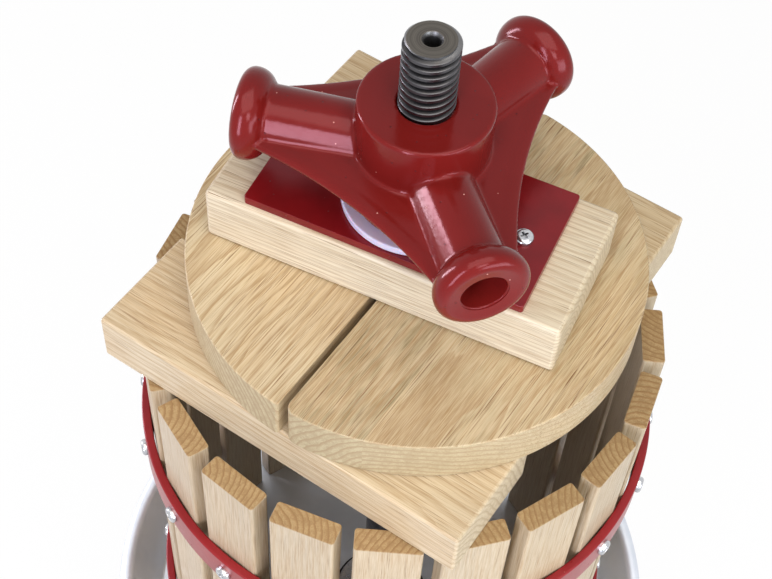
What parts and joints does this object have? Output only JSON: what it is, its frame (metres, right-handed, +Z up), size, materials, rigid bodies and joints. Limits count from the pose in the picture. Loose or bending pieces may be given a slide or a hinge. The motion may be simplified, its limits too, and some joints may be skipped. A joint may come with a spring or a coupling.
{
  "type": "fruit press",
  "caption": "Screw fruit press with a slatted wooden basket, pressing boards, split disc, head block, armed nut, juice tray and legged stand.",
  "frame": {"origin": "on the screw's axis at floor level, under the feet", "axes": "+Z up along the screw, -Y to the front, where the spout points"},
  "size_m": [0.3624, 0.391, 0.6518],
  "materials": {
    "dark_steel": "dark oiled steel",
    "zinc_steel": "bright zinc plating",
    "tray_steel": "satin sheet steel",
    "red_steel": "gloss paint",
    "hoop_red": "gloss paint",
    "plate_red": "gloss paint",
    "casting_red": "gloss enamel on a casting",
    "nylon": "milky",
    "seal_rubber": "matt",
    "slat_wood": "planed, clear finish",
    "board_wood": "planed, clear finish",
    "disc_wood": "planed, clear finish",
    "block_wood": "planed, clear finish"
  },
  "bodies": {
    "stand": {"press_screw": "dark_steel", "foot_washer": "zinc_steel", "foot_nut": "zinc_steel", "hub_plate": "red_steel", "centre_spacer": "zinc_steel", "tray_seal": "seal_rubber", "clamp_washer": "zinc_steel", "tray": "tray_steel", "spout": "tray_steel", "leg_bolts": "zinc_steel", "leg_nuts": "zinc_steel", "leg_1": "red_steel", "leg_2": "red_steel", "leg_3": "red_steel"},
    "washer": {"thrust_washer": "nylon"},
    "nut": {"three_arm_nut": "casting_red"},
    "head": {"head_block": "block_wood", "head_plate": "plate_red", "plate_screws": "zinc_steel"},
    "basket": {"hoop_top": "hoop_red", "hoop_bottom": "hoop_red", "hoop_screws_top": "zinc_steel", "hoop_screws_bottom": "zinc_steel", "slat_01": "slat_wood", "slat_02": "slat_wood", "slat_03": "slat_wood", "slat_04": "slat_wood", "slat_05": "slat_wood", "slat_06": "slat_wood", "slat_07": "slat_wood", "slat_08": "slat_wood", "slat_09": "slat_wood", "slat_10": "slat_wood", "slat_11": "slat_wood", "slat_12": "slat_wood", "slat_13": "slat_wood", "slat_14": "slat_wood", "slat_15": "slat_wood", "slat_16": "slat_wood", "slat_17": "slat_wood", "slat_18": "slat_wood", "slat_19": "slat_wood", "slat_20": "slat_wood"},
    "disc_right": {"half_disc_right": "disc_wood"},
    "disc_left": {"half_disc_left": "disc_wood"},
    "front_board": {"board_front": "board_wood"},
    "back_board": {"board_back": "board_wood"}
  },
  "joints": [
    {"name": "nut_travel", "type": "slide", "parent": "stand", "child": "washer", "axis": [0, 0, 1], "range_m": [0, 0.0801]},
    {"name": "nut_spin", "type": "hinge", "parent": "washer", "child": "nut", "pos_m": [0, 0, 0.5887], "axis": [0, 0, 1], "range_deg": [0, 7200]},
    {"name": "block_turn", "type": "hinge", "parent": "stand", "child": "head", "pos_m": [-0.002, 0, 0.537], "axis": [0, 0, 1], "continuous": true},
    {"name": "basket_turn", "type": "hinge", "parent": "stand", "child": "basket", "pos_m": [-0.001, -0.004, 0.31], "axis": [0, 0, 1], "continuous": true},
    {"name": "disc_right_slide", "type": "slide", "parent": "basket", "child": "disc_right", "axis": [0.8607, -0.509, 0], "range_m": [0, 0.05]},
    {"name": "disc_left_slide", "type": "slide", "parent": "basket", "child": "disc_left", "axis": [-0.8607, 0.509, 0], "range_m": [0, 0.05]},
    {"name": "front_board_slide", "type": "slide", "parent": "basket", "child": "front_board", "axis": [-0.509, -0.8607, 0], "range_m": [-0.02, 0.03]},
    {"name": "back_board_slide", "type": "slide", "parent": "basket", "child": "back_board", "axis": [0.509, 0.8607, 0], "range_m": [-0.02, 0.03]}
  ],
  "couplings": [
    {"joint": "nut_travel", "follows": "nut_spin", "m_per_rad": 0.00063662}
  ]
}
